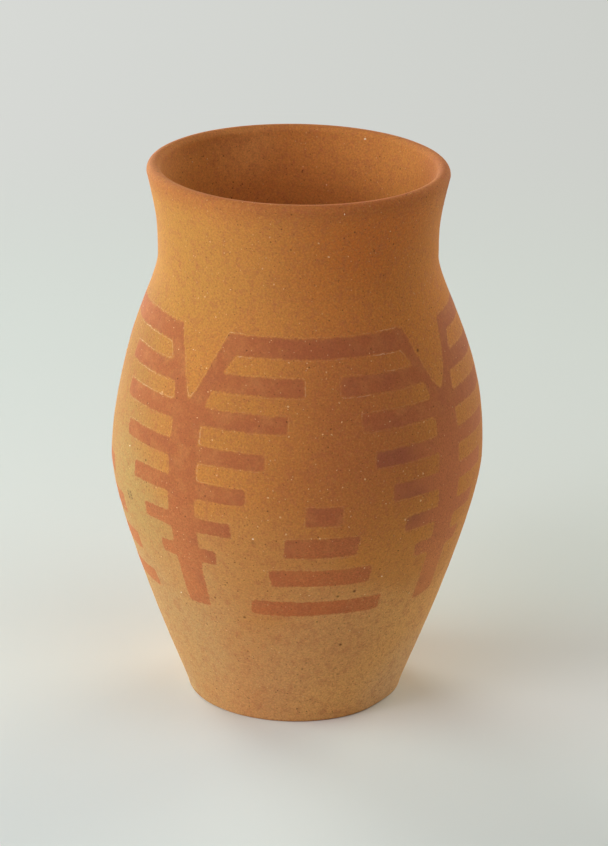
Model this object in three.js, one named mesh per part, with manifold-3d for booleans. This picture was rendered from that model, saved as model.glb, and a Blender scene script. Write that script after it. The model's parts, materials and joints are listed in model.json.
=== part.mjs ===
// A jar of fired clay with a painted band of red slip: a flat foot, a conical lower wall, a round belly,
// a drawn-in neck and an open, slightly flared mouth. Millimetres, +Z up, origin at the middle of the foot.
import * as THREE from "three";
import { mergeVertices } from "three/addons/utils/BufferGeometryUtils.js";
import Module from "manifold-3d";

// Outside of the clay body: radii and rises, stacked from the foot to the lip
const footRadius = 38.5; // flat face that the jar stands on
const footRound = 3; // height of the worn edge round that face
const footSpread = 1.3; // how far the worn edge spreads outwards
const bellyHeight = 93.2; // widest level, above the ground
const bellyRadius = 67.5;
const shoulderRise = 73.6; // from the belly to the narrowest level
const neckRadius = 50.3;
const mouthRise = 30.4; // from the narrowest level to the lip
const lipRadius = 54.1;
const lipRound = 2.8; // height of the rounded lip

// Wall of the clay body
const floorThickness = 7.5;
const floorCorner = 14; // hollow curve between the floor and the wall
const wallAtFoot = 6;
const wallAtBelly = 5;
const wallAtNeck = 5;
const lipThickness = 5;

// Lean of the wall, in millimetres outwards for each millimetre of rise
const footLean = 0.4;
const lipLean = 0.23;

// Fullness of each stretch of wall: the share of its rise that keeps to the lean of its end
const footFullness = 0.26;
const underBellyFullness = 0.21;
const overBellyFullness = 0.52;
const underNeckFullness = 0.16;
const overNeckFullness = 0.41;
const lipFullness = 0.52;

// Slip: a thin coat that follows the wall
const slipThickness = 0.25;
const slipSeat = 0.05; // clearance between the coat and the clay

// Painted band: four panels between upright trunks. Widths go round the wall, levels are above the ground
const panelCount = 4;
const frontPanelTurn = 8; // degrees from straight ahead to the middle of the front panel
const bandFoot = 49.6; // lower edge of the trunks and of the lowest step
const trunkTopWidth = 13;
const trunkFootWidth = 11.2;
const branchCount = 6; // on each side of a trunk
const lowestBranch = 68.6;
const branchPitch = 12.9;
const branchDepth = 6.3;
const topGap = 12.5; // opening between the tips of the two top branches of a panel
const gapGrowth = 12.6; // each level further down the opening is this much wider
const roofDepth = 7; // the roof bar lies one pitch above the top branch
const forkWidth = 19.8; // opening of the V at the top of a trunk, level with the top of the roof
const forkDepth = 25; // depth of that V
const armWidth = 6.2; // of each arm of the fork, level with the underside of the roof
const armDrop = 6; // the arms leave the trunk this far below the point of the V
const stepCount = 4; // in each panel
const stepPitch = 12.7;
const stepDepth = 7.3;
const topStepWidth = 13.6;
const stepGrowth = 11.4; // each step further down is this much wider
const stepSlant = 0.8; // the lower corners of a step stand out this much at each end

// Facets
const turnSteps = 64; // round the jar, a multiple of the panel count
const wallRows = { lower: 8, shoulder: 9, mouth: 5, lip: 6 };
const innerRows = { lower: 6, shoulder: 6, mouth: 3, corner: 4 };
const footRows = 2;

const wasm = await Module();
wasm.setup();

const clay = new THREE.MeshStandardMaterial({ color: "#c58449", roughness: 0.9, metalness: 0 });
const redSlip = new THREE.MeshStandardMaterial({ color: "#8c4428", roughness: 0.85, metalness: 0 });

const neckHeight = bellyHeight + shoulderRise;
const height = neckHeight + mouthRise + lipRound;
const point = (radius, level) => new THREE.Vector2(radius, level);

// Curve of the wall between two levels, leaving the first and reaching the second along the given leans.
function wallCurve(from, fromLean, fromFullness, to, toLean, toFullness) {
  const rise = to.y - from.y;
  return new THREE.CubicBezierCurve(
    from,
    point(from.x + fromLean * fromFullness * rise, from.y + fromFullness * rise),
    point(to.x - toLean * toFullness * rise, to.y - toFullness * rise),
    to,
  );
}

// One side of the wall from just above the foot to just below the lip, the thicknesses taken off its radii.
function wallSide(start, atBelly, atNeck, atLip, rows) {
  const belly = point(bellyRadius - atBelly, bellyHeight);
  const neck = point(neckRadius - atNeck, neckHeight);
  const lip = point(lipRadius - atLip, height - lipRound);
  const lower = wallCurve(start, footLean, footFullness, belly, 0, underBellyFullness);
  const shoulder = wallCurve(belly, 0, overBellyFullness, neck, 0, underNeckFullness);
  const mouth = wallCurve(neck, 0, overNeckFullness, lip, lipLean, lipFullness);
  return [
    ...lower.getPoints(rows.lower),
    ...shoulder.getPoints(rows.shoulder).slice(1),
    ...mouth.getPoints(rows.mouth).slice(1),
  ];
}

// Quarter or half of an ellipse as profile points, both ends left out.
function arc(centre, radiusX, radiusY, startAngle, endAngle, rows) {
  const curve = new THREE.EllipseCurve(
    centre.x, centre.y, radiusX, radiusY, startAngle, endAngle, endAngle < startAngle,
  );
  return curve.getPoints(rows).slice(1, -1);
}

// A closed profile turned round the upright axis.
function turned(profile) {
  return new THREE.LatheGeometry(profile, turnSteps).rotateX(Math.PI / 2);
}

const footTop = point(footRadius + footSpread, footRound);
const outerWall = wallSide(footTop, 0, 0, 0, wallRows);

function clayBody() {
  const innerStart = point(footTop.x - wallAtFoot, floorThickness + floorCorner);
  const innerWall = wallSide(innerStart, wallAtBelly, wallAtNeck, lipThickness, innerRows);
  const lipCentre = point(lipRadius - lipThickness / 2, height - lipRound);
  const cornerCentre = point(innerStart.x - floorCorner, innerStart.y);
  const profile = [
    point(0, 0),
    point(footRadius, 0),
    ...arc(point(footRadius, footRound), footSpread, footRound, -Math.PI / 2, 0, footRows),
    ...outerWall,
    ...arc(lipCentre, lipThickness / 2, lipRound, 0, Math.PI, wallRows.lip),
    ...innerWall.reverse(),
    ...arc(cornerCentre, floorCorner, floorCorner, 0, -Math.PI / 2, innerRows.corner),
    point(cornerCentre.x, floorThickness),
    point(0, floorThickness),
  ];
  return turned(profile);
}

function solidOf(geometry) {
  const bare = geometry.clone().deleteAttribute("normal").deleteAttribute("uv");
  const merged = mergeVertices(bare);
  return new wasm.Manifold(
    new wasm.Mesh({
      numProp: 3,
      vertProperties: merged.attributes.position.array,
      triVerts: new Uint32Array(merged.index.array),
    }),
  );
}

function geometryOf(solid) {
  const { vertProperties, triVerts } = solid.getMesh();
  const geometry = new THREE.BufferGeometry();
  geometry.setAttribute("position", new THREE.BufferAttribute(vertProperties, 3));
  geometry.setIndex(new THREE.BufferAttribute(triVerts, 1));
  geometry.computeVertexNormals();
  return geometry;
}

// The whole coat that the strokes are cut from: the wall's facets moved out by the seat and the thickness.
function slipCoat() {
  const outside = outerWall.map((p) => point(p.x + slipSeat + slipThickness, p.y));
  const inside = outerWall.map((p) => point(p.x + slipSeat, p.y)).reverse();
  return solidOf(turned([...outside, ...inside, outside[0]]));
}

const panelPitch = 360 / panelCount;
const roofFoot = lowestBranch + branchCount * branchPitch;
const roofTop = roofFoot + roofDepth;
const forkFoot = roofTop - forkDepth;

// Radius of the wall's outside at a level.
function wallRadius(level) {
  const above = Math.max(1, outerWall.findIndex((p) => p.y >= level));
  const low = outerWall[above - 1];
  const high = outerWall[above];
  return THREE.MathUtils.mapLinear(level, low.y, high.y, low.x, high.x);
}

// Degrees that a width takes up round the wall at a level.
const turnOf = (width, level) => THREE.MathUtils.radToDeg(width / wallRadius(level));

// The blocks that mark out the strokes reach from the axis to well outside the wall.
const reach = 2 * Math.max(bellyRadius, neckRadius, lipRadius);

// A block with level edges, between two turns.
function bar(left, right, foot, top) {
  const corner = (turn) => point(0, -reach).rotateAround(point(0, 0), THREE.MathUtils.degToRad(turn));
  const plan = new THREE.Shape([point(0, 0), corner(left), corner(right)]);
  const slice = new THREE.ExtrudeGeometry(plan, { depth: top - foot, bevelEnabled: false });
  return solidOf(slice.translate(0, 0, foot));
}

// A block of one outline, as a stencil held against the wall at one turn gives it. Its right half is listed
// from the bottom up as [width of the whole outline, level], and its left half is the mirror image.
function stencil(turn, rightHalf) {
  const right = rightHalf.map(([width, level]) => {
    const radius = wallRadius(level);
    return point(radius * Math.sin(width / 2 / radius), level);
  });
  const left = right.filter((p) => p.x > 0).map((p) => point(-p.x, p.y));
  const outline = new THREE.Shape([...right, ...left.reverse()]);
  const block = new THREE.ExtrudeGeometry(outline, { depth: reach, bevelEnabled: false });
  return solidOf(block.rotateX(Math.PI / 2).rotateZ(THREE.MathUtils.degToRad(turn)));
}

// Opening of a fork at a level above its point, and the width across both its arms under the roof.
const forkOpening = (level) => forkWidth * ((level - forkFoot) / forkDepth);
const forkSpan = forkOpening(roofFoot) + 2 * armWidth;

// A trunk with its fork and its branches.
function trunkStrokes(middle) {
  const trunk = stencil(middle, [
    [trunkFootWidth, bandFoot],
    [trunkTopWidth, forkFoot - armDrop],
    [forkSpan, roofFoot],
    [forkSpan, roofTop],
    [forkWidth, roofTop],
    [0, forkFoot],
  ]);
  const strokes = [trunk];
  for (let level = 0; level < branchCount; level++) {
    const foot = lowestBranch + level * branchPitch;
    const top = foot + branchDepth;
    const gap = topGap + (branchCount - 1 - level) * gapGrowth;
    const root = turnOf(Math.max(0, forkOpening(top) / 2) + armWidth / 4, top);
    const tip = panelPitch / 2 - turnOf(gap / 2, (foot + top) / 2);
    strokes.push(bar(middle + root, middle + tip, foot, top), bar(middle - tip, middle - root, foot, top));
  }
  return strokes;
}

// The bar that closes a panel at the top. It runs into the arm of a fork at each end.
function roofStroke(middle) {
  const half = panelPitch / 2 - turnOf((forkWidth + forkSpan) / 4, roofTop);
  return bar(middle - half, middle + half, roofFoot, roofTop);
}

function stepStroke(middle, step) {
  const foot = bandFoot + (stepCount - 1 - step) * stepPitch;
  const width = topStepWidth + step * stepGrowth;
  return stencil(middle, [
    [width + 2 * stepSlant, foot],
    [width - 2 * stepSlant, foot + stepDepth],
  ]);
}

const vessel = new THREE.Group();

function addPiece(name, geometry, material) {
  const mesh = new THREE.Mesh(geometry, material);
  mesh.name = name;
  vessel.add(mesh);
}

addPiece("clay_body", clayBody(), clay);

const coat = slipCoat();
const panelMiddles = Array.from({ length: panelCount }, (_, panel) => frontPanelTurn + panel * panelPitch);
const frieze = panelMiddles.flatMap((middle) => [
  ...trunkStrokes(middle + panelPitch / 2),
  roofStroke(middle),
]);
addPiece("slip_frieze", geometryOf(coat.intersect(wasm.Manifold.union(frieze))), redSlip);

panelMiddles.forEach((middle, panel) => {
  for (let step = 0; step < stepCount; step++) {
    const stepBar = coat.intersect(stepStroke(middle, step));
    addPiece(`slip_step_${panel + 1}_${step + 1}`, geometryOf(stepBar), redSlip);
  }
});

export default vessel;
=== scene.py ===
import json
import math
import random

import bmesh
import bpy
import numpy as np
from mathutils import Matrix, Vector, noise
from mathutils.geometry import interpolate_bezier

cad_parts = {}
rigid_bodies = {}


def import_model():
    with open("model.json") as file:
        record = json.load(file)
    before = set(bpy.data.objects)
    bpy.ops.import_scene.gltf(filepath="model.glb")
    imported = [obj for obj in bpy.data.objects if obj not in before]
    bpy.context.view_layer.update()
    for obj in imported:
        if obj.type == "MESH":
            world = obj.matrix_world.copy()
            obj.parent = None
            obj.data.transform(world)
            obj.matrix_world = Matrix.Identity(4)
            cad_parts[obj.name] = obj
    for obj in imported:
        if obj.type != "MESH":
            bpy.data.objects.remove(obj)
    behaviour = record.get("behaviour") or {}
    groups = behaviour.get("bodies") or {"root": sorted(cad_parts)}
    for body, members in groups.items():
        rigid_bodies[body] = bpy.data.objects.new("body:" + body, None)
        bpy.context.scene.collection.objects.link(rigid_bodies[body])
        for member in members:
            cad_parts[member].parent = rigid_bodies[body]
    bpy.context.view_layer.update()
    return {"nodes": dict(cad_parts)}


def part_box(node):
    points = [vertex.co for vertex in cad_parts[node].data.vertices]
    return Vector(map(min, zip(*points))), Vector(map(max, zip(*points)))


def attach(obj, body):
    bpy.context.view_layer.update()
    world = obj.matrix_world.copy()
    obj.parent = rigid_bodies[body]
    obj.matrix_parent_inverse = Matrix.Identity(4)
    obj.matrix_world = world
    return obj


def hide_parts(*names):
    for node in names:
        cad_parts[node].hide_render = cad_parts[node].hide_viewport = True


# A jar of fired clay with a painted band of red slip. Metres, +Z up, the front faces -Y.
# A turn is measured in degrees round the jar from the front, positive towards +X.
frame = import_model()
print("frame loaded:", len(frame["nodes"]), "nodes")

mm = 0.001
samePlace = 1e-6  # points nearer than this, in metres, count as one
seed = 64
scene = bpy.context.scene
scene.view_settings.view_transform = "Standard"
noise.seed_set(seed)  # or the clock would seed the noise that the strokes wander by


def linearColour(hexText):
    channels = [int(hexText[i:i + 2], 16) / 255 for i in (1, 3, 5)]
    linear = [c / 12.92 if c <= 0.04045 else ((c + 0.055) / 1.055) ** 2.4 for c in channels]
    return linear + [1.0]


def smoothStep(low, high, value):
    share = min(1.0, max(0.0, (value - low) / (high - low)))
    return share * share * (3 - 2 * share)


def bell(away, reach):
    return math.exp(-((away / reach) ** 2))


# Camera: a long lens a little above the jar, rolled by half a degree
cameraPlace = {
    "distance": 1.3,
    "elevation": 20.33,
    "lookAtHeight": 100 * mm,
    "lens": 151.68,
    "roll": 0.5307,
    "shiftX": 0.00834,
    "shiftY": 0.00488,
}
lookAt = Vector((0, 0, cameraPlace["lookAtHeight"]))
rise = math.radians(cameraPlace["elevation"])
away = Vector((0, -math.cos(rise), math.sin(rise)))
cameraObject = bpy.data.objects.new("camera", bpy.data.cameras.new("camera"))
scene.collection.objects.link(cameraObject)
cameraObject.matrix_world = (
    Matrix.Translation(lookAt + away * cameraPlace["distance"])
    @ (-away).to_track_quat("-Z", "Y").to_matrix().to_4x4()
    @ Matrix.Rotation(math.radians(cameraPlace["roll"]), 4, "Z")
)
cameraObject.data.lens = cameraPlace["lens"]
cameraObject.data.shift_x = cameraPlace["shiftX"]
cameraObject.data.shift_y = cameraPlace["shiftY"]
scene.camera = cameraObject
print("camera placed")

# Wall of the jar: the turned form first, then what the hand left in it
_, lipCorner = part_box("clay_body")
clayBody = {
    "height": lipCorner.z,
    "bellyRadius": lipCorner.x,
    "bellyHeight": 93.2 * mm,
    "footRadius": 38.1 * mm,  # flat part of the foot
    "footRound": 3 * mm,  # height of the worn edge round the flat foot
    "footSpread": 1.7 * mm,  # width of that edge
    "footHandles": (1.2 * mm, 1.4 * mm),  # how far it keeps to the flat and to the wall
    "neckRadius": 50.3 * mm,
    "neckHeight": 166.8 * mm,
    "lipRadius": 54.1 * mm,
    "lipRound": 2.8 * mm,
    "lipThickness": 5 * mm,
    "wallThickness": 5 * mm,
    "footWall": 6 * mm,
    "floorThickness": 7.5 * mm,
    "floorCorner": 14 * mm,
    "footLean": 0.4,  # outwards for each unit of rise
    "lipLean": 0.23,
    "fullness": {"foot": 0.26, "underBelly": 0.21, "overBelly": 0.52,
                 "underNeck": 0.16, "overNeck": 0.41, "lip": 0.52},
    "rows": {"lower": 66, "shoulder": 56, "mouth": 24},
    "innerRows": {"lower": 36, "shoulder": 34, "mouth": 16},
    "footPoints": 9,
    "cornerRows": 10,
    "lipRows": 12,
    "footShares": (0, 0.25, 0.5, 0.75, 0.9, 1),  # rings across the flat foot
    "floorShares": (1, 0.66, 0.33, 0),  # rings across the inner floor
    "turnSteps": 288,
    "innerFrom": 2.5 * mm,  # depth at which the colour of the inner wall sets in
    "innerTo": 5 * mm,
}
handMarks = {
    "sway": 0.85 * mm,  # the shoulder stands this far over to +X
    "swayHeight": 118 * mm,
    "swayReach": 24 * mm,
    "footOffset": 0.2 * mm,
    "lipTilt": 0.518,  # degrees, higher on the left
    "lipTiltFrom": 0.72,  # share of the height at which the tilt sets in
    "swell": 0.22 * mm,  # slow unevenness of the wall
    "swellLength": 34 * mm,
    "ripple": 0.05 * mm,  # smoothing marks, longer round the jar than up it
    "rippleLength": 9 * mm,
    "rippleSquash": 2.2,
    "insideFrom": 3.5 * mm,  # depth at which a point counts as inside
    "insideTo": 4.5 * mm,
    "ringDepth": 0.05 * mm,  # rings wiped by the fingers, either way
    "ringPitch": 6 * mm,
    "ringsAbove": 1 * mm,  # the floor
    "driftPitches": 3,  # the rings waver over this many pitches, by up to so many radians
    "driftTurn": 4,
    "footSwell": 0.25 * mm,  # the wall is a little full just above the foot
    "footSwellLevel": 1 * mm,
    "footSwellReach": 3.5 * mm,
    # the edge of the foot is worn most at the front right: middle and reach in degrees
    "worn": {"turn": 56, "reach": 15, "depth": 1.0 * mm, "top": 9 * mm,
             "from": 26 * mm, "to": 36 * mm},
}


def wallPoint(radius, level):
    return Vector((radius, 0, level))


def wallCurve(start, startLean, startFullness, end, endLean, endFullness, rows):
    height = end.z - start.z
    leave = start + Vector((startLean, 0, 1)) * startFullness * height
    arrive = end - Vector((endLean, 0, 1)) * endFullness * height
    return interpolate_bezier(start, leave, arrive, end, rows + 1)


def wallSide(start, thickness, lipThickness, rows):
    c, full = clayBody, clayBody["fullness"]
    belly = wallPoint(c["bellyRadius"] - thickness, c["bellyHeight"])
    neck = wallPoint(c["neckRadius"] - thickness, c["neckHeight"])
    lip = wallPoint(c["lipRadius"] - lipThickness, c["height"] - c["lipRound"])
    lower = wallCurve(start, c["footLean"], full["foot"],
                      belly, 0, full["underBelly"], rows["lower"])
    shoulder = wallCurve(belly, 0, full["overBelly"],
                         neck, 0, full["underNeck"], rows["shoulder"])
    mouth = wallCurve(neck, 0, full["overNeck"],
                      lip, c["lipLean"], full["lip"], rows["mouth"])
    return lower + shoulder[1:] + mouth[1:]


def arc(centre, radiusX, radiusZ, fromAngle, toAngle, rows):
    span = toAngle - fromAngle
    angles = [math.radians(fromAngle + span * i / rows) for i in range(1, rows)]
    return [centre + Vector((radiusX * math.cos(a), 0, radiusZ * math.sin(a))) for a in angles]


footTop = wallPoint(clayBody["footRadius"] + clayBody["footSpread"], clayBody["footRound"])
outerWall = wallSide(footTop, 0, 0, clayBody["rows"])
outerLevels = np.array([p.z for p in outerWall])
outerRadii = np.array([p.x for p in outerWall])


def wallRadius(level):
    return float(np.interp(level, outerLevels, outerRadii))


def handShaped(point):
    h, worn = handMarks, handMarks["worn"]
    level = point.z
    flat = Vector((point.x, point.y, 0))
    outwards = flat.normalized() if flat.length > samePlace else Vector()
    inside = smoothStep(h["insideFrom"], h["insideTo"], wallRadius(level) - flat.length)
    squashed = Vector((point.x, point.y, level * h["rippleSquash"]))
    swell = noise.noise(point / h["swellLength"]) * h["swell"]
    swell += noise.noise(squashed / h["rippleLength"]) * h["ripple"]
    if inside and level > clayBody["floorThickness"] + h["ringsAbove"]:
        drift = noise.noise(point / (h["driftPitches"] * h["ringPitch"])) * h["driftTurn"]
        ring = math.sin(level / h["ringPitch"] * 2 * math.pi + drift)
        swell += inside * h["ringDepth"] * ring
    if level < worn["top"]:
        turn = math.degrees(math.atan2(point.x, -point.y))
        rub = bell(turn - worn["turn"], worn["reach"]) * (1 - level / worn["top"])
        swell -= worn["depth"] * rub * smoothStep(worn["from"], worn["to"], flat.length)
    fullFoot = h["footSwell"] * bell(level - h["footSwellLevel"], h["footSwellReach"])
    swell += fullFoot * (1 - inside)
    sway = h["sway"] * bell(level - h["swayHeight"], h["swayReach"]) - h["footOffset"]
    atLip = smoothStep(h["lipTiltFrom"], 1.0, level / clayBody["height"])
    lift = -point.x * math.tan(math.radians(h["lipTilt"])) * atLip
    return point + outwards * swell + Vector((sway, 0, lift))


def onWall(turn, level, lift=0.0):
    angle = math.radians(turn)
    step = 0.5 * mm
    slope = (wallRadius(level + step) - wallRadius(level - step)) / (2 * step)
    across = Vector((math.sin(angle), -math.cos(angle), 0))
    outwards = (across - Vector((0, 0, slope))).normalized()
    return handShaped(across * wallRadius(level) + Vector((0, 0, level)) + outwards * lift)


def makePiece(name, bm, material, smooth=None):
    mesh = bpy.data.meshes.new(name)
    for face in bm.faces if smooth is None else smooth:
        face.smooth = True
    bm.to_mesh(mesh)
    bm.free()
    mesh.materials.append(material)
    piece = bpy.data.objects.new(name, mesh)
    scene.collection.objects.link(piece)
    return piece


def addNode(tree, kind, inputs=(), output=0, **settings):
    # inputs are a list in the order of the sockets, or a dictionary by their name or number
    node = tree.nodes.new("ShaderNode" + kind)
    for name, value in settings.items():
        setattr(node, name, value)
    for name, value in inputs.items() if isinstance(inputs, dict) else enumerate(inputs):
        if isinstance(value, bpy.types.NodeSocket):
            tree.links.new(value, node.inputs[name])
        else:
            node.inputs[name].default_value = value
    return node.outputs[output] if node.outputs else node


asColour = {"output": 2, "data_type": "RGBA"}  # for a mix of colours, inputs 0, 6 and 7
smoothly = {"interpolation_type": "SMOOTHSTEP"}

# Fired clay: low-fired earthenware, unglazed, smoothed by hand while damp. It is quite matt,
# mottled orange and purplish at about a millimetre, with pinholes, dark and pale temper, and broad
# tones that are partly its own uneven fire colour and partly painted light and shade. Its real
# grain of a few tenths of a millimetre is too fine to show at this size, so grain, small mottles
# and dots are drawn about twice as coarse.
# A range is noise from and to, then the share or the shade given there.
firedClay = {
    "body": "#D0843A",
    "cloud": "#C77A38",  # slow patches
    "cloudNoise": {"Scale": 1 / (45 * mm), "Detail": 4},
    "cloudRange": (0.4, 0.75, 0.0, 0.6),
    "inner": "#D98A41",  # inside wall, painted lighter: painted light in the shade inside the mouth
    "innerShare": 0.4,
    # mottles: colour, size in millimetres, strength, and how far the noise is shifted
    "mottles": (
        ("#B5603D", 3.4, 0.35, (0, 0, 0)),
        ("#B5603D", 0.85, 0.4, (0, 0, 0)),
        ("#D59B49", 0.85, 0.3, (0.31, 0.17, 0.05)),
    ),
    "mottleNoise": {"Detail": 3, "Roughness": 0.6},
    "mottleFrom": 0.48,
    "mottleTo": 0.70,
    "grainNoise": {"Scale": 1 / (0.65 * mm), "Detail": 2, "Roughness": 0.7},
    "grainRange": (0.3, 0.7, 0.85, 1.15),
    # dots: colour, spacing and radius in millimetres, share of the cells that hold one,
    # strength, height
    "dots": (
        ("#7A4420", 1.7, 0.26, 0.50, 0.70, -0.8),
        ("#6B3A16", 3.6, 0.36, 0.38, 0.85, -0.5),
        ("#E8BC80", 2.0, 0.25, 0.40, 0.60, 0.4),
    ),
    "dotFull": 0.5,  # shares of a dot's radius at which it is full, and gone
    "dotGone": 1.1,
    # broad tones: turn, level and reach in millimetres, colour, strength. Partly the clay's own
    # uneven fire colour, partly painted light and shade: greyer and paler along the lit left edge
    # as a painted sheen, darker on the shadowed right of the belly and lip; paler towards the foot
    # all round
    "tones": (
        (-80, 108, 48, "#B88547", 0.9),
        (-62, 172, 48, "#C6873A", 0.9),
        (35, 186, 40, "#D2722B", 0.9),
        (25, 146, 26, "#D27C36", 0.8),
        (-22, 124, 26, "#C27B36", 0.6),
        (68, 160, 40, "#CB7A31", 0.9),
        (18, 116, 42, "#BB6A34", 0.9),
        (-12, 62, 34, "#CE8A48", 0.9),
        (8, 10, 60, "#D49861", 0.95),
        (64, 22, 70, "#EBAC64", 0.95),
        (16, 36, 24, "#D6955A", 0.6),
        (-65, 46, 60, "#C89B64", 0.9),
        (-62, 84, 32, "#BE9859", 0.8),
        (-82, 5, 32, "#BEA171", 0.9),
        (78, 5, 34, "#E6B987", 0.95),
        (82, 165, 34, "#CB7A27", 0.8),
        (-76, 140, 24, "#B0783A", 0.7),
        (86, 199, 20, "#9E5222", 0.9),
        (84, 118, 44, "#B06A34", 0.5),
        (125, 22, 60, "#D9A25C", 0.8),
        (178, 20, 60, "#D79B5A", 0.9),
        (-120, 18, 60, "#D29C59", 0.8),
        (150, 120, 45, "#C0733A", 0.7),
        (-130, 110, 45, "#C47C3C", 0.6),
    ),
    "innerLightAndShade": (
        # painted light and shade inside the mouth, lighter on the back-left wall under the lip and
        # darker on the right: turn, level and reach in millimetres, colour, strength
        (206, 198, 20, "#ECA258", 0.8),
        (94, 192, 30, "#B56628", 0.9),
        (235, 186, 26, "#DC9246", 0.6),
    ),
    "lipTone": "#B8672F",
    "lipShare": 0.75,
    "lipInside": 0.3,  # how much of it the inner side takes
    "lipFrom": 195 * mm,
    "lipTo": 204 * mm,
    "lipRagged": 9 * mm,
    "bump": 0.05 * mm,
    "finish": {"Roughness": 0.88, "IOR": 1.5, "Specular IOR Level": 0.4},
}
# Shares of a tone's reach at which it is full, and gone, less what the ragged noise takes off
toneFull, toneGone = -0.3, 0.6

# Scuffs on the clay: turn, level and reach in millimetres, colour and strength
scuffs = (
    (-63.2, 84.8, 2.4, "#8A6A44", 0.3),
    (-64.5, 85.7, 0.6, "#604628", 0.85),
    (-64.4, 84.6, 0.6, "#604628", 0.85),
    (-63.9, 83.5, 0.6, "#604628", 0.85),
    (-62.6, 86.1, 0.6, "#604628", 0.85),
    (-62.2, 85.0, 0.6, "#604628", 0.85),
    (-61.9, 83.9, 0.6, "#604628", 0.85),
    (-53, 102, 0.6, "#604628", 0.85),
    (-13, 80.5, 1.0, "#6E4A30", 0.3),
    (46.8, 143.7, 0.8, "#6E3A16", 0.9),
    (20.4, 59.2, 0.8, "#6E3A16", 0.9),
    (18.4, 35.5, 0.8, "#6E3A16", 0.9),
    (-18.4, 47.5, 0.7, "#754218", 0.8),
    (14.7, 57.7, 0.7, "#754218", 0.8),
    (-29, 54, 0.6, "#754218", 0.8),
    (5, 28, 0.5, "#7A4A20", 0.6),
    (3.4, 25.2, 0.6, "#7A4A20", 0.6),
    (1.5, 22.5, 0.5, "#7A4A20", 0.6),
    (8, 10.5, 0.5, "#7A4A20", 0.6),
    (18, 24.5, 0.6, "#7A4A20", 0.5),
    (19.5, 21.5, 0.5, "#7A4A20", 0.5),
)


def broadTones(tree, place, colour, tones, ragged, within=1.0):
    for turn, level, reach, hexText, strength in tones:
        spot = onWall(turn, level * mm)
        away = addNode(tree, "VectorMath", [place, spot[:]], "Value", operation="DISTANCE")
        away = addNode(tree, "Math", [ragged, -reach * mm, away], operation="MULTIPLY_ADD")
        full, gone = toneFull * reach * mm, toneGone * reach * mm
        share = addNode(tree, "MapRange", [away, full, gone, strength, 0.0], **smoothly)
        share = addNode(tree, "Math", [share, within], operation="MULTIPLY")
        colour = addNode(tree, "Mix", {0: share, 6: colour, 7: linearColour(hexText)},
                         **asColour)
    return colour


def grained(tree, colour, grain):
    shade = addNode(tree, "MapRange", [grain, *firedClay["grainRange"]])
    return addNode(tree, "VectorMath", {0: colour, "Scale": shade}, operation="SCALE")


def clayNodes(tree):
    c = firedClay
    place = addNode(tree, "TexCoord", output="Object")
    clouds = addNode(tree, "TexNoise", {"Vector": place, **c["cloudNoise"]})
    share = addNode(tree, "MapRange", [clouds, *c["cloudRange"]])
    body, cloud = linearColour(c["body"]), linearColour(c["cloud"])
    colour = addNode(tree, "Mix", {0: share, 6: body, 7: cloud}, **asColour)
    colour = broadTones(tree, place, colour, c["tones"], clouds)

    inner = addNode(tree, "Attribute", output="Fac", attribute_name="innerWall")
    share = addNode(tree, "Math", [inner, c["innerShare"]], operation="MULTIPLY")
    colour = addNode(tree, "Mix", {0: share, 6: colour, 7: linearColour(c["inner"])},
                     **asColour)
    colour = broadTones(tree, place, colour, c["innerLightAndShade"], clouds, inner)

    height = addNode(tree, "SeparateXYZ", [place], "Z")
    height = addNode(tree, "Math", [clouds, c["lipRagged"], height], operation="MULTIPLY_ADD")
    share = addNode(tree, "MapRange", [height, c["lipFrom"], c["lipTo"], 0.0, c["lipShare"]],
                    **smoothly)
    weaker = addNode(tree, "MapRange", [inner, 0.0, 1.0, 1.0, c["lipInside"]])
    share = addNode(tree, "Math", [share, weaker], operation="MULTIPLY")
    colour = addNode(tree, "Mix", {0: share, 6: colour, 7: linearColour(c["lipTone"])},
                     **asColour)

    for hexText, size, most, shift in c["mottles"]:
        where = addNode(tree, "Mapping", {"Vector": place, "Location": shift})
        spots = addNode(tree, "TexNoise",
                        {"Vector": where, "Scale": 1 / (size * mm), **c["mottleNoise"]})
        share = addNode(tree, "MapRange", [spots, c["mottleFrom"], c["mottleTo"], 0.0, most])
        colour = addNode(tree, "Mix", {0: share, 6: colour, 7: linearColour(hexText)},
                         **asColour)
    grain = addNode(tree, "TexNoise", {"Vector": place, **c["grainNoise"]})
    return place, grained(tree, colour, grain), grain


def dotted(tree, place, colour, grain):
    c = firedClay
    relief = grain
    for hexText, spacing, radius, chosen, strength, lift in c["dots"]:
        cells = addNode(tree, "TexVoronoi", {"Vector": place, "Scale": 1 / (spacing * mm)},
                        "Distance")
        picked = addNode(tree, "SeparateColor", [cells.node.outputs["Color"]])
        picked = addNode(tree, "Math", [picked, chosen], operation="LESS_THAN")
        size = radius / spacing
        full, gone = c["dotFull"] * size, c["dotGone"] * size
        near = addNode(tree, "MapRange", [cells, full, gone, strength, 0.0])
        share = addNode(tree, "Math", [near, picked], operation="MULTIPLY")
        colour = addNode(tree, "Mix", {0: share, 6: colour, 7: linearColour(hexText)},
                         **asColour)
        relief = addNode(tree, "Math", [share, lift, relief], operation="MULTIPLY_ADD")
    return colour, relief


def finishMaterial(tree, colour, relief, look):
    bump = addNode(tree, "Bump", {"Height": relief, "Distance": look["bump"], "Strength": 1.0})
    surface = addNode(tree, "BsdfPrincipled",
                      {"Base Color": colour, "Normal": bump, **look["finish"]})
    addNode(tree, "OutputMaterial", {"Surface": surface})


def newMaterial(name):
    material = bpy.data.materials.new(name)
    material.use_nodes = True
    material.node_tree.nodes.clear()
    return material, material.node_tree


clayMaterial, clayTree = newMaterial("firedClay")
clayPlace, clayColour, clayGrain = clayNodes(clayTree)
clayColour, clayRelief = dotted(clayTree, clayPlace, clayColour, clayGrain)
clayColour = broadTones(clayTree, clayPlace, clayColour, scuffs, clayGrain)
finishMaterial(clayTree, clayColour, clayRelief, firedClay)

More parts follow.
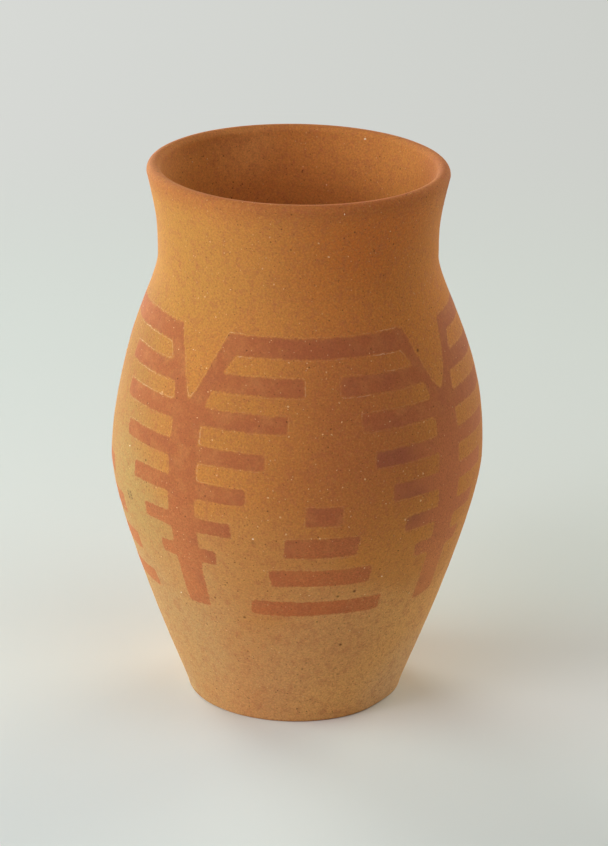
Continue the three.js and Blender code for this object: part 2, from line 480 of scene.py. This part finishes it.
# Red slip: a thin wash of iron-rich clay brushed on before firing. It is as matt as the clay,
# lets some of its mottling through, and fades over the last half millimetre. A pale scribed
# line follows its edge. Distances from the edge are in millimetres, positive inwards.
redSlip = {
    "body": "#B56236",
    "thin": "#C37642",  # where the brush ran dry
    "thick": "#9E5239",  # purplish, where the wash pooled
    # broad tones: turn, level and reach in millimetres, colour, strength
    "tones": (
        (8, 50, 36, "#C86B38", 0.9),
        (-50, 60, 42, "#C67140", 0.9),
        (-16, 78, 22, "#B05C38", 0.6),
        (58, 84, 54, "#C77144", 0.9),
        (52, 54, 30, "#D58048", 0.9),
        (4, 153, 26, "#AC5A36", 0.6),
        (29, 110, 15, "#90493A", 0.5),
        (37, 90, 11, "#92503A", 0.5),
        (80, 132, 40, "#A3552F", 0.6),
        (98, 60, 45, "#C7723F", 0.8),
        (188, 58, 60, "#C87440", 0.9),
        (278, 58, 45, "#C8733E", 0.8),
    ),
    "scribe": "#E2B488",
    "lineMiddle": -0.3,
    "lineHalf": 0.26,
    "coverRange": (-0.15, 0.55, 0.0, 0.94),  # distance from and to, and the cover there
    # speckles: size in millimetres, noise from and to, and what is given there
    "edgeSpeckle": (1.2, 0.3, 0.7, -0.3, 0.3),
    "coverSpeckle": (1.1, 0.5, 0.72, 1.0, 0.68),
    "lineSpeckle": (2.1, 0.38, 0.6, 0.15, 1.0),
    "brushSpeckle": (5, 0.45, 0.75, 0.0, 0.8),
    "poolSpeckle": (9, 0.52, 0.75, 0.0, 0.4),
    "speckleDetail": 3,
    "bump": 0.05 * mm,
    "finish": {"Roughness": 0.85, "IOR": 1.5, "Specular IOR Level": 0.4},
}


def slipMaterial():
    s = redSlip
    material, tree = newMaterial("redSlip")
    place, colour, grain = clayNodes(tree)

    def speckle(name):
        size, *gives = s[name]
        spots = addNode(tree, "TexNoise", {"Vector": place, "Scale": 1 / (size * mm),
                                           "Detail": s["speckleDetail"]})
        return addNode(tree, "MapRange", [spots, *gives])

    edge = addNode(tree, "Attribute", output="Fac", attribute_name="edgeDistance")
    edge = addNode(tree, "Math", [edge, speckle("edgeSpeckle")], operation="ADD")
    cover = addNode(tree, "MapRange", [edge, *s["coverRange"]], **smoothly)
    cover = addNode(tree, "Math", [cover, speckle("coverSpeckle")], operation="MULTIPLY")

    body, thin, thick = (linearColour(s[name]) for name in ("body", "thin", "thick"))
    coat = addNode(tree, "Mix", {0: speckle("brushSpeckle"), 6: body, 7: thin}, **asColour)
    coat = broadTones(tree, place, coat, s["tones"], grain)
    coat = addNode(tree, "Mix", {0: speckle("poolSpeckle"), 6: coat, 7: thick}, **asColour)
    coat = grained(tree, coat, grain)

    offLine = addNode(tree, "Math", [edge, s["lineMiddle"]], operation="SUBTRACT")
    offLine = addNode(tree, "Math", [offLine], operation="ABSOLUTE")
    line = addNode(tree, "MapRange", [offLine, 0.0, s["lineHalf"], 1.0, 0.0], **smoothly)
    scribed = addNode(tree, "Attribute", output="Fac", attribute_name="scribed")
    line = addNode(tree, "Math", [line, scribed], operation="MULTIPLY")
    line = addNode(tree, "Math", [line, speckle("lineSpeckle")], operation="MULTIPLY")
    colour = addNode(tree, "Mix", {0: line, 6: colour, 7: linearColour(s["scribe"])},
                     **asColour)
    colour = addNode(tree, "Mix", {0: cover, 6: colour, 7: coat}, **asColour)
    colour, relief = dotted(tree, place, colour, grain)
    finishMaterial(tree, colour, relief, s)
    return material


paintedSlip = slipMaterial()
print("materials made")


def buildClayBody():
    c = clayBody
    innerStart = wallPoint(footTop.x - c["footWall"], c["floorThickness"] + c["floorCorner"])
    innerWall = wallSide(innerStart, c["wallThickness"], c["lipThickness"], c["innerRows"])
    lipCentre = wallPoint(c["lipRadius"] - c["lipThickness"] / 2, c["height"] - c["lipRound"])
    cornerCentre = wallPoint(innerStart.x - c["floorCorner"], innerStart.z)
    flatHandle, wallHandle = c["footHandles"]
    profile = [wallPoint(c["footRadius"] * share, 0) for share in c["footShares"]]
    leave = profile[-1] + Vector((flatHandle, 0, 0))
    arrive = footTop - Vector((c["footLean"], 0, 1)) * wallHandle
    profile += interpolate_bezier(profile[-1], leave, arrive, footTop, c["footPoints"])[1:-1]
    profile += outerWall
    profile += arc(lipCentre, c["lipThickness"] / 2, c["lipRound"], 0, 180, c["lipRows"])
    profile += innerWall[::-1]
    profile += arc(cornerCentre, c["floorCorner"], c["floorCorner"], 0, -90, c["cornerRows"])
    profile += [wallPoint(cornerCentre.x * share, c["floorThickness"])
                for share in c["floorShares"]]
    bm = bmesh.new()
    line = [bm.verts.new(p) for p in profile]
    edges = [bm.edges.new(pair) for pair in zip(line, line[1:])]
    bmesh.ops.spin(bm, geom=line + edges, cent=(0, 0, 0), axis=(0, 0, 1), angle=2 * math.pi,
                   steps=c["turnSteps"], use_merge=True)
    bmesh.ops.remove_doubles(bm, verts=bm.verts, dist=samePlace)
    bmesh.ops.recalc_face_normals(bm, faces=bm.faces)
    innerShare = bm.verts.layers.float.new("innerWall")
    for vert in bm.verts:
        depth = wallRadius(vert.co.z) - math.hypot(vert.co.x, vert.co.y)
        offTheFoot = vert.co.z > mm
        vert[innerShare] = smoothStep(c["innerFrom"], c["innerTo"], depth) * offTheFoot
        vert.co = handShaped(vert.co)
    piece = makePiece("clayBody", bm, clayMaterial)
    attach(piece, "root")
    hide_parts("clay_body")
    return piece


clayPiece = buildClayBody()
print("clay body:", len(clayPiece.data.polygons), "faces")

# Strokes of slip. Each outline is a list of corners, (turn in degrees, level in millimetres),
# going anticlockwise as seen from outside. A fine net is wrapped round the wall and cut to
# the strokes. Lengths are in millimetres.
slipCoat = {
    "net": 0.8,  # mesh of the net
    "beyond": 3,  # the net goes this far past the strokes, in degrees and in millimetres
    "slowWobble": 0.30,  # the hand wanders this far from a straight edge
    "slowLength": 12,
    "fastWobble": 0.11,
    "fastLength": 3.2,
    "cornerPasses": 2,  # rounding of the brushed corners
    "margin": 0.9,  # clay carried outside the painted edge, for the scribed line
    "liftFrom": (-1.7, -0.7, 0.0, 0.8),  # distances in from the painted edge
    "lift": (-0.06, -0.015, 0.015, 0.04),  # how proud of the clay the coat is there
    "depth": 0.3,  # the coat's own underside lies in the clay
    "weld": 0.05,
}


def flatRadius(level):
    return wallRadius(level * mm) / mm


def insideBy(across, up, corners):
    nearest = np.full(across.shape, np.inf)
    inside = np.zeros(across.shape, bool)
    for (startX, startY), (endX, endY) in zip(corners, corners[1:] + corners[:1]):
        alongX, alongY = endX - startX, endY - startY
        share = (across - startX) * alongX + (up - startY) * alongY
        share = np.clip(share / (alongX ** 2 + alongY ** 2), 0, 1)
        gap = np.hypot(across - startX - share * alongX, up - startY - share * alongY)
        nearest = np.minimum(nearest, gap)
        if alongY:
            crossing = (startY > up) != (endY > up)
            inside ^= crossing & (across < startX + alongX * (up - startY) / alongY)
    return np.where(inside, nearest, -nearest)


def wander(turn, level):
    angle = math.radians(turn)
    across = Vector((math.sin(angle), -math.cos(angle), 0))
    where = across * flatRadius(level) + Vector((0, 0, level))
    slow = noise.noise_vector(where / slipCoat["slowLength"]) * slipCoat["slowWobble"]
    fast = noise.noise_vector(where / slipCoat["fastLength"]) * slipCoat["fastWobble"]
    return slow + fast


def layCoat(name, nodes, outlines, turnSpan, levelSpan):
    c = slipCoat
    width = math.radians(turnSpan[1] - turnSpan[0]) * flatRadius(sum(levelSpan) / 2)
    bm = bmesh.new()
    bmesh.ops.create_grid(bm, x_segments=math.ceil(width / c["net"]),
                          y_segments=math.ceil((levelSpan[1] - levelSpan[0]) / c["net"]),
                          size=0.5)
    turns = np.interp([v.co.x for v in bm.verts], (-0.5, 0.5), turnSpan)
    levels = np.interp([v.co.y for v in bm.verts], (-0.5, 0.5), levelSpan)
    radii = np.interp(levels * mm, outerLevels, outerRadii) / mm
    wobble = np.array([wander(turn, level) for turn, level in zip(turns, levels)])
    inside = np.full(len(turns), -np.inf)
    for middle, corners in outlines:
        across = np.radians((turns - middle + 180) % 360 - 180) * radii + wobble[:, 0]
        flat = [(math.radians(turn - middle) * flatRadius(level), level)
                for turn, level in corners]
        inside = np.maximum(inside, insideBy(across, levels + wobble[:, 2], flat))
    for vert, turn, level, distance in zip(bm.verts, turns, levels, inside):
        vert.co = turn, level, distance
    for _ in range(c["cornerPasses"]):
        bmesh.ops.smooth_vert(bm, verts=bm.verts, factor=0.5, use_axis_z=True)
    bare = [f for f in bm.faces if max(v.co.z for v in f.verts) < -c["margin"]]
    bmesh.ops.delete(bm, geom=bare, context="FACES")
    fromEdge = bm.verts.layers.float.new("edgeDistance")
    scribed = bm.verts.layers.float.new("scribed")
    for vert in bm.verts:
        turn, level, distance = vert.co
        vert[fromEdge] = distance
        vert[scribed] = scribeStrength(turn, level)
        lift = float(np.interp(distance, c["liftFrom"], c["lift"]))
        vert.co = onWall(turn, level * mm, lift * mm)
    bmesh.ops.remove_doubles(bm, verts=bm.verts, dist=c["weld"] * mm)
    bmesh.ops.recalc_face_normals(bm, faces=bm.faces)
    bm.faces.ensure_lookup_table()
    outwards = bm.faces[0].calc_center_median() * Vector((1, 1, 0))
    if bm.faces[0].normal.dot(outwards) < 0:
        bmesh.ops.reverse_faces(bm, faces=bm.faces)
    painted = bm.faces[:]
    bmesh.ops.solidify(bm, geom=painted, thickness=c["depth"] * mm)
    piece = makePiece(name, bm, paintedSlip, smooth=painted)
    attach(piece, "root")
    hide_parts(*nodes)
    return piece


# Where the scribed line shows most: (turn, level, reach in millimetres, strength)
scribeMarks = {
    "faint": 0.14,
    "full": 0.4,  # share of a mark's reach within which it is full
    "strong": ((-66, 146, 13, 0.95), (-52, 143, 6, 1.0), (-62, 128, 12, 0.7), (-50, 128, 8, 0.7),
               (-60, 114, 10, 0.6), (-38, 130, 6, 0.7), (-24, 151, 5, 0.8), (-20, 145.5, 5, 0.8),
               (2, 137, 5, 0.7), (34, 145.5, 9, 0.75), (20, 133, 9, 0.5), (-32, 117, 5, 0.7),
               (-30, 104, 6, 0.6), (36, 153, 7, 0.6)),
}


def scribeStrength(turn, level):
    best = scribeMarks["faint"]
    degree = math.radians(1) * flatRadius(level)
    for markTurn, markLevel, reach, strength in scribeMarks["strong"]:
        away = math.hypot((turn - markTurn) * degree, level - markLevel)
        best = max(best, strength * (1 - smoothStep(scribeMarks["full"] * reach, reach, away)))
    return best


# The frieze: four trees that meet in the middle of each roof bar. Reaches run from the lowest
# branch up, in degrees from the trunk. The fork runs from its left corner down to the point
# and up to its right one.
slipFrieze = {
    "trees": (
        {"turn": -37.6, "lean": 1.3, "foot": ((-3.6, 49.7), (6.2, 49.7)),
         "right": (12.0, 17.6, 22.2, 27.6, 34.2, 39.9),
         "left": (10.3, 16.0, 21.4, 28.0, 32.9, 36.2),
         "fork": ((-9.6, 152.6), (-7.4, 147), (-4.9, 142.5), (-2.4, 134), (-0.2, 128), (2.6, 132.5),
                  (4.6, 138), (7.6, 144.6), (11.7, 152.7)),
         "underRoof": (-13.2, 15.6)},
        {"turn": 53.3, "lean": 0.3, "foot": ((-6.3, 48.5), (5.0, 49.9)),
         "right": (11.7, 17.3, 22.6, 28.4, 33.4, 38.8),
         "left": (12.1, 17.9, 23.2, 29.1, 33.1, 39.1),
         "fork": ((-11.4, 152.7), (-7.3, 142), (-3.8, 133), (0.1, 129), (3.9, 135), (6.7, 142),
                  (10.2, 151.8)),
         "underRoof": (-14.2, 14.4)},
        {"turn": 143.4, "lean": -0.6, "foot": ((-5.9, 49.2), (4.1, 50.1)),
         "right": (11.9, 17.0, 22.9, 27.9, 33.8, 38.5),
         "left": (11.2, 17.5, 22.4, 28.6, 34.0, 39.3),
         "fork": ((-10.4, 152.4), (-4.8, 140), (0, 128.4), (4.6, 139.5), (10.8, 152.8)),
         "underRoof": (-14.6, 14.9)},
        {"turn": 232.4, "lean": 0.8, "foot": ((-4.2, 50.0), (6.0, 49.1)),
         "right": (11.3, 16.6, 22.7, 28.2, 33.1, 38.9),
         "left": (12.1, 17.8, 23.0, 27.7, 33.9, 38.2),
         "fork": ((-10.9, 152.7), (-5.1, 140.5), (0.2, 127.7), (4.9, 140), (10.1, 152.3)),
         "underRoof": (-14.1, 14.5)},
    ),
    "turnSpan": (-82.6, 277.4),
    "foot": 49.7,
    "footHalf": 4.9,  # half widths of a trunk, in degrees
    "topHalf": 5.5,
    "branchFeet": (68.6, 80.9, 94.1, 107.4, 120.5, 133.0),
    "branchTops": (74.5, 87.0, 100.6, 113.6, 127.0, 139.5),
    "armFoot": 122,
    "armCurve": 1.7,
    "roofFoot": 145.7,
    "roofTop": 152.7,
    "overrun": 2.5,  # degrees of roof laid past the middle of a panel, over its neighbour
}


def treeSide(tree, side):
    f = slipFrieze
    name, end = ("right", 1) if side > 0 else ("left", 0)
    armTop = abs(tree["underRoof"][end])

    def edge(level):
        up = min(1, (level - f["foot"]) / (f["armFoot"] - f["foot"]))
        half = f["footHalf"] + (f["topHalf"] - f["footHalf"]) * up
        if level > f["armFoot"]:
            upArm = (level - f["armFoot"]) / (f["roofFoot"] - f["armFoot"])
            half += (armTop - half) * upArm ** f["armCurve"]
        return side * half + tree["lean"] * (1 - up)

    corners = [tree["foot"][end]]
    for reach, foot, top in zip(tree[name], f["branchFeet"], f["branchTops"]):
        corners += [(edge(foot), foot), (side * reach, foot)]
        corners += [(side * reach, top), (edge(top), top)]
    corners.append((side * armTop, f["roofFoot"]))
    return corners


def friezeOutlines():
    f = slipFrieze
    trees, outlines = f["trees"], []
    for i, tree in enumerate(trees):
        before = (trees[i - 1]["turn"] - tree["turn"]) % 360 - 360
        after = (trees[(i + 1) % len(trees)]["turn"] - tree["turn"]) % 360
        left, right = before / 2 - f["overrun"], after / 2 + f["overrun"]
        corners = treeSide(tree, 1) + [(right, f["roofFoot"]), (right, f["roofTop"])]
        corners += tree["fork"][::-1] + ((left, f["roofTop"]), (left, f["roofFoot"]))
        corners += treeSide(tree, -1)[::-1]
        outlines.append((tree["turn"], [(tree["turn"] + turn, level) for turn, level in corners]))
    return outlines


beyond = slipCoat["beyond"]
frieze = layCoat("slipFrieze", ["slip_frieze"], friezeOutlines(), slipFrieze["turnSpan"],
                 (slipFrieze["foot"] - beyond, slipFrieze["roofTop"] + beyond))
print("slip frieze:", len(frieze.data.polygons), "faces")

# The stepped bars, in degrees from the middle of the panel: left and right end at the foot of
# a bar, then at its top
slipSteps = {
    "middles": (8, 98.4, 188, 277.5),
    "feet": (87.6, 74.6, 62.4, 49.6),
    "tops": (95.0, 82.8, 69.6, 56.2),
    "ends": (
        ((-5.4, 6.2, -5.2, 6.0), (-12.0, 11.6, -11.4, 12.0),
         (-15.9, 17.2, -16.8, 17.6), (-23.8, 23.0, -23.2, 23.6)),
        ((-6.2, 6.0, -5.8, 5.5), (-11.8, 12.1, -11.5, 11.6),
         (-17.4, 17.2, -16.6, 17.0), (-23.6, 23.9, -23.0, 23.3)),
        ((-5.8, 6.3, -5.3, 6.1), (-12.3, 11.7, -11.6, 11.4),
         (-17.0, 17.6, -17.2, 16.8), (-23.2, 23.8, -23.5, 23.0)),
        ((-6.4, 6.4, -6.0, 6.2), (-12.2, 13.4, -12.0, 13.0),
         (-17.8, 19.6, -17.2, 19.0), (-24.0, 25.2, -23.4, 24.2)),
    ),
}
for panel, (middle, panelEnds) in enumerate(zip(slipSteps["middles"], slipSteps["ends"])):
    for step, (footLeft, footRight, topLeft, topRight) in enumerate(panelEnds):
        foot, top = slipSteps["feet"][step], slipSteps["tops"][step]
        bar = [(footLeft, foot), (footRight, foot), (topRight, top), (topLeft, top)]
        bar = [(middle + turn, level) for turn, level in bar]
        place = f"{panel + 1}_{step + 1}"
        layCoat(f"slipStep_{place}", [f"slip_step_{place}"], [(middle, bar)],
                (min(bar)[0] - beyond, max(bar)[0] + beyond), (foot - beyond, top + beyond))
print("slip steps laid")

# Mineral grains of the temper that lie open at the surface: (turn, level, half length in
# millimetres)
mineralGrains = {
    "found": (
        (-39.7, 144.8, 0.55), (-13, 82, 0.5), (-63.3, 103.5, 0.5), (-45, 51.5, 0.5),
        (30, 63.7, 0.5), (-39.5, 162.5, 0.3), (-32.7, 139.9, 0.28), (-32.8, 156.8, 0.3),
        (-24.9, 104.3, 0.34), (-27.4, 116.4, 0.3), (3.3, 144.7, 0.3), (3.3, 143, 0.26),
        (9.8, 141.6, 0.28), (13.3, 131.3, 0.32), (13.6, 124.8, 0.3), (7.4, 121, 0.3),
        (10.2, 120.8, 0.34), (3.3, 102, 0.3), (13.5, 102, 0.34), (-3.3, 130.4, 0.3),
        (-3, 120.3, 0.28), (20.4, 104.2, 0.36), (33.4, 104.7, 0.3), (39, 101.6, 0.3),
        (41, 101.8, 0.34), (42.6, 120, 0.3), (16.4, 91, 0.34), (16, 86.9, 0.3),
        (-4.7, 91.4, 0.32), (-7.2, 101, 0.32), (-8.6, 98.4, 0.28), (-8.4, 90, 0.32),
        (-11.5, 87.3, 0.32), (-2.9, 84.8, 0.34), (21.3, 41.5, 0.34), (35, 86, 0.36),
        (36.2, 85.4, 0.28), (-10, 69, 0.3), (7.3, 83, 0.32), (12, 181, 0.42), (-30, 180, 0.36),
        (-46, 176, 0.36), (17, 197, 0.65),
    ),
    "inside": ((150.5, 196.2, 0.85),(234, 190.5, 0.3), (224.5, 190, 0.26), (167, 178.5, 0.28)),
    "scattered": 260,
    "scatteredInside": 60,
    "halfLengths": (0.17, 0.36),
    "oversize": 1.5,  # drawn half as large again, or they wouldn't show at this size
    "shares": ((0.9, 1.15), (0.55, 0.95), (0.5, 0.8)),  # length, width and height
    "roughness": (0.85, 1.15),
    "spin": 6.28,
    "levels": (8, 192),
    "standing": 0.15 * mm,
}
# Temper: crumbs of quartz and feldspar, whitish to cream, with the slight gloss of broken stone.
# The largest are painted whitest, partly the stone's own white and partly a painted glint: from and
# to are half lengths in millimetres.
paleTemper = {
    "cream": "#ECC084",
    "tan": "#D79A62",
    "whiteAndGlint": "#FFEED0",
    "toneNoise": {"Scale": 1 / (6 * mm), "Detail": 2},
    "toneFrom": 0.35,
    "toneTo": 0.7,
    "whiteFrom": 0.4,
    "whiteTo": 0.5,
    "bump": 0.02 * mm,
    "finish": {"Roughness": 0.8, "IOR": 1.54, "Specular IOR Level": 0.4},
}


def temperMaterial():
    t = paleTemper
    material, tree = newMaterial("paleTemper")
    place = addNode(tree, "TexCoord", output="Object")
    tone = addNode(tree, "TexNoise", {"Vector": place, **t["toneNoise"]})
    share = addNode(tree, "MapRange", [tone, t["toneFrom"], t["toneTo"]])
    cream, tan, whiteAndGlint = (linearColour(t[name]) for name in ("cream", "tan", "whiteAndGlint"))
    colour = addNode(tree, "Mix", {0: share, 6: cream, 7: tan}, **asColour)
    share = addNode(tree, "Attribute", output="Fac", attribute_name="whitenessAndGlint")
    colour = addNode(tree, "Mix", {0: share, 6: colour, 7: whiteAndGlint}, **asColour)
    finishMaterial(tree, colour, tone, t)
    return material


def buildGrains():
    g = mineralGrains
    rng = random.Random(seed)
    places = [(*place, 1) for place in g["found"]] + [(*place, -1) for place in g["inside"]]
    shortest, longest = g["halfLengths"]
    for i in range(g["scattered"] + g["scatteredInside"]):
        half = rng.uniform(0, 1) ** 2 * (longest - shortest) + shortest
        side = 1 if i < g["scattered"] else -1
        places.append((rng.uniform(-180, 180), rng.uniform(*g["levels"]), half, side))
    bm = bmesh.new()
    whitenessAndGlint = bm.verts.layers.float.new("whitenessAndGlint")
    for turn, level, half, side in places:
        here = onWall(turn, level * mm, min(0, side) * clayBody["wallThickness"])
        outwards = onWall(turn, level * mm, mm) - onWall(turn, level * mm)
        outwards = outwards.normalized() * side
        shares = Vector([rng.uniform(*share) for share in g["shares"]])
        sizes = g["oversize"] * half * mm * shares
        upright = outwards.to_track_quat("Z", "Y").to_matrix().to_4x4()
        place = Matrix.Translation(here + outwards * (g["standing"] - sizes.z))
        place @= upright @ Matrix.Rotation(rng.uniform(0, g["spin"]), 4, "Z")
        crumb = bmesh.ops.create_icosphere(bm, subdivisions=1, radius=1, matrix=Matrix())
        for vert in crumb["verts"]:
            vert.co = vert.co * sizes * rng.uniform(*g["roughness"])
            # the largest crumbs whiten, partly their own white and partly a painted glint
            vert[whitenessAndGlint] = smoothStep(paleTemper["whiteFrom"], paleTemper["whiteTo"], half)
        bmesh.ops.transform(bm, matrix=place, verts=crumb["verts"])
    piece = makePiece("mineralGrains", bm, temperMaterial(), smooth=())
    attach(piece, "root")
    return piece


grains = buildGrains()
print("mineral grains:", len(grains.data.polygons), "faces")

# Floor: matt pale card. Far from the jar the camera sees instead a glowing sweep of card with
# painted light on it, lighter on the left and dimmer to the right.
cardFloor = {
    "size": 3.0,
    "squares": 8,
    "card": "#EBEDE9",
    # painted light on the far card: lighter on the left, dimmer on the right
    "farLitLeft": "#D7D9D5",
    "farDimRight": "#CDCFCA",
    "farWidth": 0.2,  # either side of the middle
    "farFrom": 0.4,
    "farTo": 0.8,
}


def cardMaterial():
    c = cardFloor
    material, tree = newMaterial("paleCard")
    place = addNode(tree, "TexCoord", output="Object")
    across = addNode(tree, "SeparateXYZ", [place], "X")
    away = addNode(tree, "VectorMath", [place], "Value", operation="LENGTH")
    share = addNode(tree, "MapRange", [across, -c["farWidth"], c["farWidth"]])
    farLitLeft, farDimRight = linearColour(c["farLitLeft"]), linearColour(c["farDimRight"])
    colour = addNode(tree, "Mix", {0: share, 6: farLitLeft, 7: farDimRight}, **asColour)
    far = addNode(tree, "MapRange", [away, c["farFrom"], c["farTo"]], **smoothly)
    toCamera = addNode(tree, "LightPath", output="Is Camera Ray")
    share = addNode(tree, "Math", [far, toCamera], operation="MULTIPLY")
    card = addNode(tree, "BsdfDiffuse", {"Color": linearColour(c["card"])})
    # the far card glows for the camera, with the painted light graded across it
    sweep = addNode(tree, "Emission", {"Color": colour})
    surface = addNode(tree, "MixShader", [share, card, sweep])
    addNode(tree, "OutputMaterial", {"Surface": surface})
    return material


floorMesh = bmesh.new()
bmesh.ops.create_grid(floorMesh, x_segments=cardFloor["squares"],
                      y_segments=cardFloor["squares"], size=cardFloor["size"])
floor = makePiece("floor", floorMesh, cardMaterial())

# Soft lamps, aimed at the middle of the jar: degrees round it from the front, elevation,
# distance, size and power by colour channel
lampAim = Vector((0, 0, 100 * mm))
lamps = {
    "leftWindow": {"turn": -90, "rise": 18, "away": 1.6, "size": 0.8, "power": (9.3, 11.8, 11.4)},
    "leftFront": {"turn": -60, "rise": 18, "away": 1.6, "size": 0.8, "power": (8.8, 8.8, 8.9)},
    "leftHigh": {"turn": -36, "rise": 46, "away": 1.6, "size": 0.8, "power": (3.4, 3.3, 4.0)},
    "rightHigh": {"turn": 75, "rise": 48, "away": 1.6, "size": 0.8, "power": (2.8, 2.8, 2.6)},
    "frontHigh": {"turn": 34, "rise": 60, "away": 4, "size": 2, "power": (16.0, 15.8, 15.2)},
    "above": {"turn": 0, "rise": 89, "away": 1.6, "size": 0.8, "power": (1.5, 1.6, 1.6)},
    "leftRear": {"turn": -148, "rise": 14, "away": 4, "size": 2, "power": (106, 111, 110)},
    "rightRear": {"turn": 138, "rise": 14, "away": 4, "size": 2.4, "power": (88, 86, 70)},
}
for name, lamp in lamps.items():
    light = bpy.data.lights.new(name, "AREA")
    light.size = lamp["size"]
    light.energy = max(lamp["power"])
    light.color = [part / light.energy for part in lamp["power"]]
    turn, up = math.radians(lamp["turn"]), math.radians(lamp["rise"])
    towards = Vector((math.sin(turn) * math.cos(up), -math.cos(turn) * math.cos(up), math.sin(up)))
    lampObject = bpy.data.objects.new(name, light)
    lampObject.visible_camera = False
    scene.collection.objects.link(lampObject)
    lampObject.location = lampAim + towards * lamp["away"]
    lampObject.rotation_euler = (-towards).to_track_quat("-Z", "Y").to_euler()

# The room gives hardly any light, but a low camera and a sheen see it as pale as the floor
paleRoom = {"colour": "#D6D8D5", "light": 0.02, "seen": 1.0}
scene.world = bpy.data.worlds.new("paleRoom")
scene.world.use_nodes = True
roomTree = scene.world.node_tree
background = roomTree.nodes["Background"]
background.inputs["Color"].default_value = linearColour(paleRoom["colour"])
rays = addNode(roomTree, "LightPath").node.outputs
sheen = [rays["Is Glossy Ray"], rays["Is Transmission Ray"]]
seen = addNode(roomTree, "Math", sheen, operation="MAXIMUM")
seen = addNode(roomTree, "Math", [seen, rays["Is Camera Ray"]], operation="MAXIMUM")
strength = addNode(roomTree, "MapRange", [seen, 0.0, 1.0, paleRoom["light"], paleRoom["seen"]])
roomTree.links.new(strength, background.inputs["Strength"])
print("floor and lamps placed")
